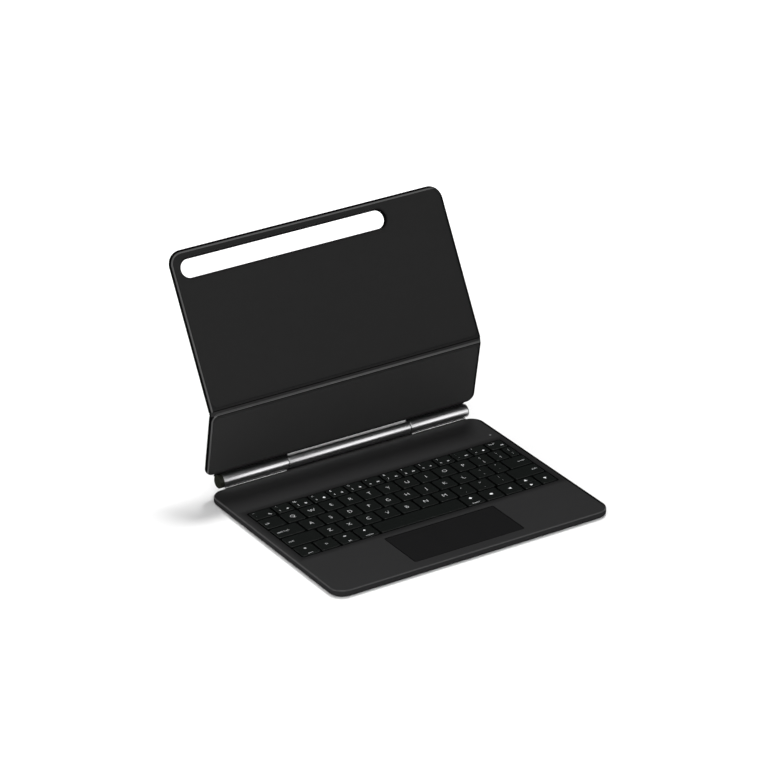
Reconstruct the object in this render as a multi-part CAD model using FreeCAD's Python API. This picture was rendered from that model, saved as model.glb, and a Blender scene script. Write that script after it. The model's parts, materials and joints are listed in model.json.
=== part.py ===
"""Folding keyboard case for an 11-inch tablet, in millimetres.

The origin is the middle of the underside of the base, +X to the right, +Y to the back and +Z up.
The case stands open: the base lies flat, the lower back panel leans forward over the hinge barrel
and the upper back panel, which holds the tablet by magnets, leans back from the fold.
"""

import FreeCAD
import Part
import math
import os

# How far a cutting shape runs past the face that it cuts, and how close counts as the same place
cut_overshoot = 1.0
same_place = 1e-4

# Base: a tray below and a deck above that meet at the parting height
base_width = 257.4
base_depth = 198.0
base_height = 6.5
base_corner_radius = 12.0
wall_thickness = 1.6
floor_thickness = 1.0
deck_thickness = 1.2
parting_height = 3.0
deck_edge_radius = 1.5
bottom_edge_radius = 2.4

# Deck layout, counted from the front edge
front_margin = 9.9
trackpad_width = 102.4
trackpad_depth = 45.5
trackpad_to_keys = 8.4
opening_corner_radius = 2.0

# Keys
key_field_width = 242.0
row_pitch = 18.0
full_rows = 4
number_row_depth = 14.5
letter_pitch = 18.0
number_pitch = 17.0
bottom_pitch = 18.25
grave_width = 21.0
tab_width = 19.7
caps_width = 26.2
left_shift_width = 32.5
right_bracket_width = 14.3
quote_width = 13.4
space_width = 82.0
arrow_pair_width = 17.0
key_gap = 2.0
arrow_gap = 0.8
key_field_clearance = 0.4
key_corner_radius = 1.6
key_edge_radius = 0.4
key_proud = 0.3
key_height = 2.3
key_top_thickness = 1.0
key_skirt_thickness = 0.9

# What carries the keys
plate_thickness = 0.6
plate_margin = 2.5
membrane_thickness = 0.3
membrane_inset = 1.0
link_thickness = 0.7
link_arm = 0.6
link_length_limit = 10.0
link_width_limit = 11.0
link_clearance = 0.25
dome_radius_limit = 2.6
dome_taper = 0.3
seat_clearance = 0.1

# Trackpad
trackpad_clearance = 0.4
trackpad_recess = 0.15
trackpad_thickness = 1.2
trackpad_corner_radius = 1.4
trackpad_board_thickness = 1.0
trackpad_board_inset = 1.0
tongue_width = 8.0
tongue_length = 6.0
tongue_offset = 30.0
switch_size = 6.0
switch_inset = 5.0
switch_body_height = 1.4
switch_plunger_radius = 1.0
switch_plunger_height = 0.2
switch_clearance = 0.55

# Electronics in the base
battery_width = 56.0
battery_depth = 38.0
battery_thickness = 3.0
battery_corner_radius = 2.0
battery_wall_gap = 8.0
board_width = 58.0
board_thickness = 1.0
board_wall_gap = 0.6
board_to_plate = 0.6
board_to_bosses = 0.6
chip_size = 8.0
chip_height = 1.1
led_size = 1.6
led_height = 0.6
socket_width = 8.9
socket_height = 3.1
socket_depth = 8.0
socket_shell = 0.3
socket_tongue_thickness = 0.7
socket_tongue_width = 6.6
socket_tongue_depth = 4.8
socket_recess = 0.2
socket_clearance = 0.1
light_radius = 0.9
light_clearance = 0.05
light_flange_radius = 1.6
light_flange_height = 0.6
light_side_inset = 9.8
light_from_board_front = 7.4
light_above_led = 0.4

# Hinge barrel behind the base: two outer tubes on the base, one middle tube on the back panel.
# The middle tube sits off centre, and the left end is closed by a thicker cap than the right end.
barrel_height = 5.5
barrel_setback = 3.6
tube_radius = 5.6
tube_wall = 0.9
barrel_left = 118.0
barrel_right = 121.0
middle_half_length = 58.3
middle_shift = 5.5
knuckle_gap = 0.6
left_cap_thickness = 3.8
right_cap_thickness = 0.6
cap_plug_length = 5.0
cap_edge = 0.4
barrel_fit = 0.05
shaft_neck_radius = 3.0
shaft_neck_length = 26.0
shaft_collar_length = 18.0
sleeve_length = 22.0

# Ledge of the deck under the middle tube
ledge_depth = 4.5
ledge_to_tube = 0.6
ledge_side_gap = 0.3

# Hinge leaves
leaf_thickness = 0.8
leaf_side_inset = 1.6
leaf_depth = 13.0
leaf_height = 3.4
leaf_gap = 0.2
riser_width = 3.4
riser_above_deck = 0.15
riser_edge_radius = 0.3
leaf_slot_clearance = 0.2
screw_radius = 0.7
screw_head_radius = 1.5
screw_head_height = 0.6
screw_length = 1.8
screw_clearance = 0.06
screw_count = 3
screw_pitch = 20.0
screw_from_wall = 6.0
boss_radius = 2.2
panel_leaf_reach = 15.0
panel_leaf_depth = 2.0
panel_riser_front = 0.5
panel_riser_back = 3.0
panel_riser_gap = 1.6

# Back panels: a skin with a half-round edge, a stiff board in it and a lining over the board
panel_width = 258.0
panel_thickness = 4.0
panel_lean_forward = 10.84
panel_lean_back = 28.77
panel_behind_axis = 0.5
hinge_to_panel = 7.3
fold_reach = 67.6
upper_length = 132.8
panel_corner_radius = 12.0
hinge_corner_radius = 7.5
lining_fold_corner_radius = 5.0
edge_flat = 0.2
rim_land = 1.2
fold_edge_radius = 1.3
skin_thickness = 0.8
lining_thickness = 0.8
lining_proud = 0.2
lining_edge_radius = 0.3
panel_fit = 0.05
fold_bead_radius = 0.55
fold_clearance = 0.1
fold_bead_inset = 4.0
guard_gap = 0.3
guard_end = 1.6

# Window for the camera and the pen, near the top left of the upper panel
window_length = 192.0
window_height = 15.3
window_side_margin = 8.7
window_top_margin = 8.5
window_rim = 1.8
window_edge_radius = 1.0

# Magnets that hold the tablet
magnet_width = 22.0
magnet_depth = 7.0
magnet_thickness = 1.6
magnet_columns = 6
magnet_pitch = 40.0
magnet_row_low = 24.0
magnet_row_high = 92.0

# Places worked out from the sizes above
deck_underside = base_height - deck_thickness
front_edge = -base_depth / 2
rear_edge = base_depth / 2
trackpad_front = front_edge + front_margin
trackpad_rear = trackpad_front + trackpad_depth
key_field_front = trackpad_rear + trackpad_to_keys
key_field_rear = key_field_front + full_rows * row_pitch + number_row_depth
key_field_left = -key_field_width / 2
key_top = base_height + key_proud
key_bottom = key_top - key_height
key_ceiling = key_top - key_top_thickness
plate_top = floor_thickness + plate_thickness
membrane_top = plate_top + membrane_thickness
axis_y = rear_edge + barrel_setback
axis_z = base_height + barrel_height
tube_bore = tube_radius - tube_wall
middle_left = middle_shift - middle_half_length
middle_right = middle_shift + middle_half_length
board_top = floor_thickness + board_thickness
board_right = base_width / 2 - wall_thickness - board_wall_gap
board_front = key_field_rear + key_field_clearance + plate_margin + board_to_plate
boss_front = rear_edge - wall_thickness - screw_from_wall - boss_radius
board_depth = boss_front - board_to_bosses - board_front
socket_y = board_front + board_depth / 2
light_x = base_width / 2 - light_side_inset
light_y = board_front + light_from_board_front
fold_depth = panel_thickness - fold_bead_radius
fold_setback = fold_bead_radius + fold_clearance
board_front_depth = lining_thickness
board_back_depth = panel_thickness - skin_thickness
rim_edge_radius = (panel_thickness - edge_flat) / 2
rim_width = rim_edge_radius + rim_land

parts = {}


def box(x_low, x_high, y_low, y_high, z_low, z_high):
    corner = FreeCAD.Vector(x_low, y_low, z_low)
    return Part.makeBox(x_high - x_low, y_high - y_low, z_high - z_low, corner)


def cylinder_x(radius, x_low, x_high, y, z):
    start = FreeCAD.Vector(x_low, y, z)
    return Part.makeCylinder(radius, x_high - x_low, start, FreeCAD.Vector(1, 0, 0))


def cylinder_z(radius, x, y, z_low, z_high):
    return Part.makeCylinder(radius, z_high - z_low, FreeCAD.Vector(x, y, z_low))


def corner_arc(x, y, radius, from_angle):
    """Quarter circle round a corner's centre, counter-clockwise from an angle in degrees."""
    points = []
    for step in range(3):
        angle = math.radians(from_angle + 45 * step)
        points.append(FreeCAD.Vector(x + radius * math.cos(angle), y + radius * math.sin(angle), 0))
    return Part.Arc(*points).toShape()


def rounded_plate(x_low, x_high, y_low, y_high, z_low, z_high, low_radius, high_radius=None):
    """Plate with rounded corners: one radius at the low Y side and one at the high Y side."""
    if high_radius is None:
        high_radius = low_radius
    arcs = [
        corner_arc(x_low + low_radius, y_low + low_radius, low_radius, 180),
        corner_arc(x_high - low_radius, y_low + low_radius, low_radius, 270),
        corner_arc(x_high - high_radius, y_high - high_radius, high_radius, 0),
        corner_arc(x_low + high_radius, y_high - high_radius, high_radius, 90),
    ]
    edges = []
    for arc, following in zip(arcs, arcs[1:] + arcs[:1]):
        edges.append(arc)
        end = arc.Vertexes[-1].Point
        start = following.Vertexes[0].Point
        if end.distanceToPoint(start) > same_place:
            edges.append(Part.LineSegment(end, start).toShape())
    face = Part.Face(Part.Wire(edges))
    face.translate(FreeCAD.Vector(0, 0, z_low))
    return face.extrude(FreeCAD.Vector(0, 0, z_high - z_low))


def edges_at(shape, axis, place):
    """Edges that lie wholly at one place along an axis."""
    chosen = []
    for edge in shape.Edges:
        low = getattr(edge.BoundBox, axis + "Min")
        high = getattr(edge.BoundBox, axis + "Max")
        if abs(low - place) < same_place and abs(high - place) < same_place:
            chosen.append(edge)
    return chosen


def round_edges(shape, z, radius):
    """Round every edge that lies at one height."""
    return shape.makeFillet(radius, edges_at(shape, "Z", z))


def mirrored(shape):
    return shape.mirror(FreeCAD.Vector(0, 0, 0), FreeCAD.Vector(1, 0, 0))


def keep(name, *shapes):
    """Store a sub-part: one solid, or a group of separate solids."""
    solids = []
    for shape in shapes:
        solids.extend(shape.Solids)
    parts[name] = solids[0] if len(solids) == 1 else Part.makeCompound(solids)


def socket_outline(grow, x_low, x_high):
    """Flat-sided round-ended block along X, the shape of the charging socket grown by a margin."""
    height = socket_height + 2 * grow
    width = socket_width + 2 * grow
    middle_z = board_top + socket_height / 2
    half_flat = (width - height) / 2
    block = box(x_low, x_high, socket_y - half_flat, socket_y + half_flat,
                middle_z - height / 2, middle_z + height / 2)
    for side in (-1, 1):
        block = block.fuse(cylinder_x(height / 2, x_low, x_high, socket_y + side * half_flat, middle_z))
    return block.removeSplitter()


def socket_hole():
    """Hole for the charging socket through the right side wall."""
    inside = base_width / 2 - wall_thickness - cut_overshoot
    return socket_outline(socket_clearance, inside, base_width / 2 + cut_overshoot)


def base_outline(inset, z_low, z_high):
    half = base_width / 2 - inset
    return rounded_plate(-half, half, front_edge + inset, rear_edge - inset, z_low, z_high,
                         base_corner_radius - inset)


def on_side(shape, side):
    """A shape that was made for the right side, put on the left for side -1."""
    return shape if side > 0 else mirrored(shape)


def tube_range(side):
    """Start and end of the outer tube on one side, counted outwards from the middle of the base."""
    if side > 0:
        return middle_right + knuckle_gap, barrel_right - right_cap_thickness
    return knuckle_gap - middle_left, barrel_left - left_cap_thickness


def leaf_range(side, clearance=0.0):
    """Start and end of the base leaf on one side, counted outwards from the middle of the base."""
    start, end = tube_range(side)
    return start + leaf_side_inset - clearance, end - leaf_side_inset + clearance


def screw_places():
    places = []
    for side in (-1, 1):
        middle = sum(leaf_range(side)) / 2
        for index in range(screw_count):
            x = side * (middle + (index - (screw_count - 1) / 2) * screw_pitch)
            places.append((x, rear_edge - wall_thickness - screw_from_wall))
    return places


def make_bottom_cover():
    tray = round_edges(base_outline(0, 0, parting_height), 0, bottom_edge_radius)
    tray = tray.cut(base_outline(wall_thickness, floor_thickness, parting_height + cut_overshoot))
    for x, y in screw_places():
        tray = tray.fuse(cylinder_z(boss_radius, x, y, floor_thickness, leaf_height))
    for x, y in screw_places():
        tray = tray.cut(cylinder_z(screw_radius + screw_clearance, x, y,
                                   leaf_height - screw_length - screw_clearance, leaf_height))
    pedestal_half = switch_size / 2
    switch_y = trackpad_front + switch_inset
    tray = tray.fuse(box(-pedestal_half, pedestal_half, switch_y - pedestal_half, switch_y + pedestal_half,
                         floor_thickness, switch_bottom()))
    tray = tray.cut(socket_hole())
    keep("bottom_cover", tray)


def make_deck_cover():
    deck = round_edges(base_outline(0, parting_height, base_height), base_height, deck_edge_radius)
    deck = deck.cut(base_outline(wall_thickness, parting_height - cut_overshoot, deck_underside))
    above = base_height + cut_overshoot
    below = deck_underside - cut_overshoot
    deck = deck.cut(rounded_plate(key_field_left - key_field_clearance,
                                  -key_field_left + key_field_clearance,
                                  key_field_front - key_field_clearance,
                                  key_field_rear + key_field_clearance,
                                  below, above, opening_corner_radius))
    grow = trackpad_clearance
    deck = deck.cut(rounded_plate(-trackpad_width / 2 - grow, trackpad_width / 2 + grow,
                                  trackpad_front - grow, trackpad_rear + grow, below, above,
                                  trackpad_corner_radius + grow))
    deck = deck.cut(cylinder_z(light_radius + light_clearance, light_x, light_y, below, above))
    deck = deck.cut(socket_hole())
    for side in (-1, 1):
        start, end = leaf_range(side, leaf_slot_clearance)
        slot = box(start, end, rear_edge - wall_thickness - cut_overshoot, rear_edge + cut_overshoot,
                   leaf_height - leaf_slot_clearance, leaf_height + leaf_thickness + leaf_slot_clearance)
        deck = deck.cut(on_side(slot, side))
    ledge_left = ledge_side_gap - leaf_range(-1)[0]
    ledge_right = leaf_range(1)[0] - ledge_side_gap
    ledge_top = axis_z - tube_radius - ledge_to_tube
    deck = deck.fuse(box(ledge_left, ledge_right, rear_edge - wall_thickness, rear_edge + ledge_depth,
                         parting_height, ledge_top))
    keep("deck_cover", deck.removeSplitter())


def row_of(names, width):
    return [(name, width) for name in names]


def key_rows():
    """Rows from the front to the back: names and cell widths. The last key fills its row."""
    bottom = row_of(["ctrl", "fn", "alt", "meta"], bottom_pitch)
    bottom += [("space", space_width)]
    bottom += row_of(["meta_right", "alt_right", "arrow_left"], bottom_pitch)
    bottom += [("arrow_pair", arrow_pair_width), ("arrow_right", None)]
    shift = [("shift_left", left_shift_width)]
    shift += row_of(list("zxcvbnm") + ["comma", "period", "slash"], letter_pitch)
    shift += [("shift_right", None)]
    home = [("caps", caps_width)]
    home += row_of(list("asdfghjkl") + ["semicolon"], letter_pitch)
    home += [("quote", quote_width), ("enter", None)]
    upper = [("tab", tab_width)]
    upper += row_of(list("qwertyuiop") + ["bracket_left"], letter_pitch)
    upper += [("bracket_right", right_bracket_width), ("backslash", None)]
    number = [("grave", grave_width)]
    number += row_of(list("1234567890") + ["minus", "equal"], number_pitch)
    number += [("backspace", None)]
    return [bottom, shift, home, upper, number]


def key_footprints():
    """Name and cap rectangle of every key: x_low, x_high, y_low, y_high."""
    half_gap = key_gap / 2
    caps = []
    for row, keys in enumerate(key_rows()):
        depth = number_row_depth if row == full_rows else row_pitch
        y_low = key_field_front + row * row_pitch + half_gap
        y_high = y_low + depth - key_gap
        x = key_field_left
        for name, width in keys:
            cell_end = -key_field_left if width is None else x + width
            if name == "arrow_pair":
                middle = (y_low + y_high) / 2
                caps.append(("arrow_down", x + half_gap, cell_end - half_gap, y_low, middle - arrow_gap / 2))
                caps.append(("arrow_up", x + half_gap, cell_end - half_gap, middle + arrow_gap / 2, y_high))
            else:
                caps.append((name, x + half_gap, cell_end - half_gap, y_low, y_high))
            x = cell_end
    return caps


def keycap(x_low, x_high, y_low, y_high):
    cap = rounded_plate(x_low, x_high, y_low, y_high, key_bottom, key_top, key_corner_radius)
    cap = round_edges(cap, key_top, key_edge_radius)
    wall = key_skirt_thickness
    hollow = rounded_plate(x_low + wall, x_high - wall, y_low + wall, y_high - wall,
                           key_bottom - cut_overshoot, key_ceiling, key_corner_radius - wall / 2)
    return cap.cut(hollow)


def key_group(name):
    """Letters and the space bar have a node each; the other keys are grouped by their kind."""
    if len(name) == 1 and name.isalpha() or name == "space":
        return "key_" + name
    if name.isdigit() or name in ("grave", "minus", "equal"):
        return "number_keys"
    if name.startswith("arrow_"):
        return "arrow_keys"
    punctuation = ("comma", "period", "slash", "semicolon", "quote",
                   "bracket_left", "bracket_right", "backslash")
    return "punctuation_keys" if name in punctuation else "command_keys"


def make_keys():
    groups = {}
    for name, x_low, x_high, y_low, y_high in key_footprints():
        groups.setdefault(key_group(name), []).append(keycap(x_low, x_high, y_low, y_high))
    for name, caps in groups.items():
        keep(name, *caps)


def link_frame(width, length, tilt, x, y, turn):
    """Flat rectangular frame, tilted about its middle and turned about Z."""
    half_height = link_thickness / 2
    frame = box(-width / 2, width / 2, -length / 2, length / 2, -half_height, half_height)
    frame = frame.cut(box(-width / 2 + link_arm, width / 2 - link_arm,
                          -length / 2 + link_arm, length / 2 - link_arm, -link_thickness, link_thickness))
    frame.rotate(FreeCAD.Vector(0, 0, 0), FreeCAD.Vector(1, 0, 0), tilt)
    frame.rotate(FreeCAD.Vector(0, 0, 0), FreeCAD.Vector(0, 0, 1), turn)
    frame.translate(FreeCAD.Vector(x, y, (membrane_top + key_ceiling) / 2))
    return frame


def link_tilt(length, rise):
    """Angle at which a frame of this length and thickness stands as tall as the rise."""
    reach = math.hypot(length, link_thickness)
    return math.degrees(math.asin(rise / reach) - math.atan2(link_thickness, length))


def make_key_supports():
    """Scissor links and a rubber dome under every key."""
    links = []
    domes = []
    rise = key_ceiling - membrane_top - 2 * seat_clearance
    for name, x_low, x_high, y_low, y_high in key_footprints():
        room_x = x_high - x_low - 2 * key_skirt_thickness - 2 * link_clearance
        room_y = y_high - y_low - 2 * key_skirt_thickness - 2 * link_clearance
        length = min(link_length_limit, max(room_x, room_y))
        width = min(link_width_limit, min(room_x, room_y))
        turn = 90 if room_x > room_y else 0
        tilt = link_tilt(length, rise)
        inner_width = width - 2 * link_arm - 2 * link_clearance
        x = (x_low + x_high) / 2
        y = (y_low + y_high) / 2
        links.append(link_frame(width, length, tilt, x, y, turn))
        links.append(link_frame(inner_width, length, -tilt, x, y, turn))
        radius = min(dome_radius_limit, inner_width / 2 - link_arm - link_clearance)
        dome_height = key_ceiling - seat_clearance - membrane_top
        domes.append(Part.makeCone(radius, radius * (1 - dome_taper), dome_height,
                                   FreeCAD.Vector(x, y, membrane_top)))
    keep("scissor_links", *links)
    keep("rubber_domes", *domes)


def make_key_plate():
    grow = key_field_clearance + plate_margin
    sheets = (("key_plate", grow, floor_thickness, plate_top),
              ("membrane_sheet", grow - membrane_inset, plate_top, membrane_top))
    for name, margin, z_low, z_high in sheets:
        keep(name, rounded_plate(key_field_left - margin, -key_field_left + margin,
                                 key_field_front - margin, key_field_rear + margin,
                                 z_low, z_high, opening_corner_radius))


def trackpad_underside():
    return base_height - trackpad_recess - trackpad_thickness


def trackpad_board_underside():
    return trackpad_underside() - trackpad_board_thickness


def switch_bottom():
    return trackpad_board_underside() - switch_clearance - switch_plunger_height - switch_body_height


def make_trackpad():
    half = trackpad_width / 2
    keep("trackpad_plate", rounded_plate(-half, half, trackpad_front, trackpad_rear,
                                         trackpad_underside(), base_height - trackpad_recess,
                                         trackpad_corner_radius))
    inset = trackpad_board_inset
    z_low = trackpad_board_underside()
    z_high = trackpad_underside()
    board = box(-half + inset, half - inset, trackpad_front + inset, trackpad_rear - inset, z_low, z_high)
    for side in (-1, 1):
        middle = side * tongue_offset
        board = board.fuse(box(middle - tongue_width / 2, middle + tongue_width / 2,
                               trackpad_rear - inset, trackpad_rear + tongue_length, z_low, z_high))
    keep("trackpad_board", board.removeSplitter())
    switch_y = trackpad_front + switch_inset
    half_switch = switch_size / 2
    body_top = switch_bottom() + switch_body_height
    switch = box(-half_switch, half_switch, switch_y - half_switch, switch_y + half_switch,
                 switch_bottom(), body_top)
    switch = switch.fuse(cylinder_z(switch_plunger_radius, 0, switch_y, body_top,
                                    body_top + switch_plunger_height))
    keep("trackpad_switch", switch)


def make_electronics():
    left = -base_width / 2 + wall_thickness + battery_wall_gap
    front = front_edge + wall_thickness + battery_wall_gap
    keep("battery_cell", rounded_plate(left, left + battery_width, front, front + battery_depth,
                                       floor_thickness, floor_thickness + battery_thickness,
                                       battery_corner_radius))
    board = box(board_right - board_width, board_right, board_front, board_front + board_depth,
                floor_thickness, board_top)
    chip_x = board_right - board_width / 2
    board = board.fuse(box(chip_x - chip_size / 2, chip_x + chip_size / 2,
                           socket_y - chip_size / 2, socket_y + chip_size / 2,
                           board_top, board_top + chip_height))
    half_led = led_size / 2
    led_top = board_top + led_height
    board = board.fuse(box(light_x - half_led, light_x + half_led, light_y - half_led, light_y + half_led,
                           board_top, led_top))
    keep("control_board", board)
    light = cylinder_z(light_radius, light_x, light_y, led_top + light_above_led, base_height)
    light = light.fuse(cylinder_z(light_flange_radius, light_x, light_y,
                                  deck_underside - light_flange_height, deck_underside))
    keep("status_light", light.removeSplitter())
    mouth = base_width / 2 - socket_recess
    back = mouth - socket_depth
    inside = socket_outline(-socket_shell, back + socket_shell, mouth + cut_overshoot)
    shell = socket_outline(0, back, mouth).cut(inside)
    middle_z = board_top + socket_height / 2
    tongue = box(back, back + socket_tongue_depth, socket_y - socket_tongue_width / 2,
                 socket_y + socket_tongue_width / 2, middle_z - socket_tongue_thickness / 2,
                 middle_z + socket_tongue_thickness / 2)
    keep("charge_socket", shell.fuse(tongue))


def tube(x_low, x_high):
    outside = cylinder_x(tube_radius, x_low, x_high, axis_y, axis_z)
    return outside.cut(cylinder_x(tube_bore, x_low - cut_overshoot, x_high + cut_overshoot, axis_y, axis_z))


def end_cap(side):
    """Cap of one end: a plug inside the tube and a disc outside it with an eased edge."""
    tube_end = tube_range(side)[1]
    barrel_end = barrel_right if side > 0 else barrel_left
    cap = cylinder_x(tube_radius, tube_end, barrel_end, axis_y, axis_z)
    cap = cap.makeChamfer(cap_edge, edges_at(cap, "X", barrel_end))
    plug = cylinder_x(tube_bore - barrel_fit, tube_end - cap_plug_length, tube_end, axis_y, axis_z)
    return on_side(cap.fuse(plug), side)


def friction_sleeve(side):
    """Sleeve inside an outer tube, round the shaft."""
    start = tube_range(side)[0]
    end = start + sleeve_length
    sleeve = cylinder_x(tube_bore - barrel_fit, start, end, axis_y, axis_z)
    bore = cylinder_x(shaft_neck_radius + barrel_fit, start - cut_overshoot, end + cut_overshoot,
                      axis_y, axis_z)
    return on_side(sleeve.cut(bore), side)


def hinge_shaft(side):
    """Shaft that sits with its collar in the middle tube and turns with its neck in the sleeve."""
    root = tube_range(side)[0] - knuckle_gap
    collar = cylinder_x(tube_bore - barrel_fit, root - shaft_collar_length, root, axis_y, axis_z)
    neck = cylinder_x(shaft_neck_radius, root, root + shaft_neck_length, axis_y, axis_z)
    return on_side(collar.fuse(neck), side)


def make_barrel():
    sides = (-1, 1)
    keep("outer_hinge_tubes", *[on_side(tube(*tube_range(side)), side) for side in sides])
    keep("middle_hinge_tube", tube(middle_left, middle_right))
    keep("hinge_end_caps", *[end_cap(side) for side in sides])
    keep("friction_sleeves", *[friction_sleeve(side) for side in sides])
    keep("hinge_shafts", *[hinge_shaft(side) for side in sides])


def base_leaf(side):
    """Steel leaf that lies inside the base, passes its rear wall and rises to an outer tube."""
    start, end = leaf_range(side)
    leaf_top = leaf_height + leaf_thickness
    riser_front = rear_edge + leaf_gap
    riser_back = riser_front + riser_width
    riser_top = base_height + riser_above_deck
    leaf = box(start, end, rear_edge - leaf_depth, riser_back, leaf_height, leaf_top)
    leaf = leaf.fuse(box(start, end, riser_front, riser_back, leaf_top, riser_top))
    seat = cylinder_x(tube_radius, start - cut_overshoot, end + cut_overshoot, axis_y, axis_z)
    leaf = leaf.cut(seat).removeSplitter()
    nose = [edge for edge in edges_at(leaf, "Z", riser_top) if edge.BoundBox.YMax < riser_front + same_place]
    return on_side(leaf.makeFillet(riser_edge_radius, nose), side)


def make_base_leaves():
    both = [base_leaf(-1), base_leaf(1)]
    leaf_top = leaf_height + leaf_thickness
    screws = []
    for x, y in screw_places():
        hole = cylinder_z(screw_radius + screw_clearance, x, y, leaf_height - cut_overshoot,
                          leaf_top + cut_overshoot)
        both = [shape.cut(hole) for shape in both]
        head_top = leaf_top + screw_head_height
        screw = cylinder_z(screw_head_radius, x, y, leaf_top, head_top)
        screw = screw.fuse(cylinder_z(screw_radius, x, y, leaf_height - screw_length, leaf_top))
        screws.append(screw)
    keep("base_hinge_leaves", *both)
    keep("leaf_screws", *screws)


def lower_placement():
    """Panel frame: X across, Y up the panel from the hinge axis, Z out of its front face."""
    turn = FreeCAD.Rotation(FreeCAD.Vector(1, 0, 0), 90 + panel_lean_forward)
    front_normal = turn.multVec(FreeCAD.Vector(0, 0, 1))
    return FreeCAD.Placement(FreeCAD.Vector(0, axis_y, axis_z) - front_normal * panel_behind_axis, turn)


def fold_axis():
    return lower_placement().multVec(FreeCAD.Vector(0, fold_reach, -fold_depth))


def upper_placement():
    """Panel frame of the upper panel: Y starts at the fold axis."""
    turn = FreeCAD.Rotation(FreeCAD.Vector(1, 0, 0), 90 - panel_lean_back)
    return FreeCAD.Placement(fold_axis() - turn.multVec(FreeCAD.Vector(0, 0, -fold_depth)), turn)


def placed(shape, placement):
    moved = shape.copy()
    moved.Placement = placement.multiply(moved.Placement)
    return moved


def panel_plate(inset, y_low, y_high, z_low, z_high, low_radius, high_radius):
    half = panel_width / 2 - inset
    return rounded_plate(-half, half, y_low + inset, y_high - inset, z_low, z_high, low_radius, high_radius)


def panel_slab(y_low, y_high, corner_radius, fold_end):
    """Slab with half-round edges, cut off square at the fold and eased round that cut."""
    run_on = 2 * corner_radius
    start = y_low - run_on if fold_end == y_low else y_low
    end = y_high + run_on if fold_end == y_high else y_high
    slab = panel_plate(0, start, end, -panel_thickness, 0, corner_radius, corner_radius)
    slab = round_edges(slab, 0, rim_edge_radius)
    slab = round_edges(slab, -panel_thickness, rim_edge_radius)
    half = panel_width / 2
    slab = slab.common(box(-half, half, y_low, y_high, -panel_thickness, 0))
    return slab.makeFillet(fold_edge_radius, edges_at(slab, "Y", fold_end))


def panel_layers(y_low, y_high, corner_radius, fold_end):
    """Skin, board and lining of a panel that runs from y_low to y_high in its own frame."""
    def inner_plate(clearance, z_low, z_high):
        inset = rim_width + clearance
        radii = [corner_radius - inset, lining_fold_corner_radius - clearance]
        if fold_end == y_low:
            radii.reverse()
        return panel_plate(inset, y_low, y_high, z_low, z_high, *radii)

    skin = panel_slab(y_low, y_high, corner_radius, fold_end)
    skin = skin.cut(inner_plate(0, -board_back_depth, cut_overshoot))
    board = inner_plate(panel_fit, -board_back_depth, -board_front_depth)
    lining = inner_plate(panel_fit, -lining_thickness, lining_proud)
    return skin, board, round_edges(lining, lining_proud, lining_edge_radius)


def barrel_guard():
    """Lip of the lower skin: its back sheet runs on and curls round the back of the barrel."""
    inner = tube_radius + guard_gap
    outer = inner + skin_thickness
    ends = (-barrel_left, barrel_right)
    curl = cylinder_x(outer, *ends, 0, panel_behind_axis)
    curl = curl.common(box(*ends, guard_end, outer, -2 * outer, -board_back_depth))
    sheet = box(*ends, 0, hinge_to_panel + rim_width, -panel_thickness, -board_back_depth)
    room = cylinder_x(inner, -barrel_left - cut_overshoot, barrel_right + cut_overshoot, 0, panel_behind_axis)
    return curl.fuse(sheet).cut(room)


def make_lower_panel():
    place = lower_placement()
    fold_end = fold_reach - fold_setback
    skin, board, lining = panel_layers(hinge_to_panel, fold_end, hinge_corner_radius, fold_end)
    skin = skin.fuse(barrel_guard()).removeSplitter()
    leaf_left = middle_left + leaf_side_inset
    leaf_right = middle_right - leaf_side_inset
    leaf_back = -panel_leaf_depth - leaf_thickness / 2
    leaf_front = -panel_leaf_depth + leaf_thickness / 2
    leaf_end = hinge_to_panel + panel_leaf_reach
    clear = panel_fit
    slot = box(leaf_left - clear, leaf_right + clear, hinge_to_panel - cut_overshoot, leaf_end + clear,
               leaf_back - clear, leaf_front + clear)
    keep("lower_skin", placed(skin.cut(slot), place))
    keep("lower_board", placed(board.cut(slot), place))
    keep("lower_lining", placed(lining, place))

    riser_end = hinge_to_panel - panel_riser_gap
    leaf = box(leaf_left, leaf_right, 0, leaf_end, leaf_back, leaf_front)
    leaf = leaf.fuse(box(leaf_left, leaf_right, 0, riser_end, -panel_riser_back, -panel_riser_front))
    seat = cylinder_x(tube_radius, leaf_left - cut_overshoot, leaf_right + cut_overshoot,
                      0, panel_behind_axis)
    leaf = leaf.cut(seat)
    keep("panel_hinge_leaf", placed(leaf.removeSplitter(), place))

    bead_half = panel_width / 2 - fold_bead_inset
    bead = cylinder_x(fold_bead_radius, -bead_half, bead_half, fold_reach, -fold_depth)
    keep("fold_strip", placed(bead, place))


def window(grow, z_low, z_high):
    """Round-ended window through the upper panel, grown by a margin."""
    left = -panel_width / 2 + window_side_margin
    top = upper_length - window_top_margin
    return rounded_plate(left - grow, left + window_length + grow, top - window_height - grow, top + grow,
                         z_low, z_high, window_height / 2 + grow)


def magnet_places():
    places = []
    for y in (magnet_row_low, magnet_row_high):
        for index in range(magnet_columns):
            places.append(((index - (magnet_columns - 1) / 2) * magnet_pitch, y))
    return places


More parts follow.
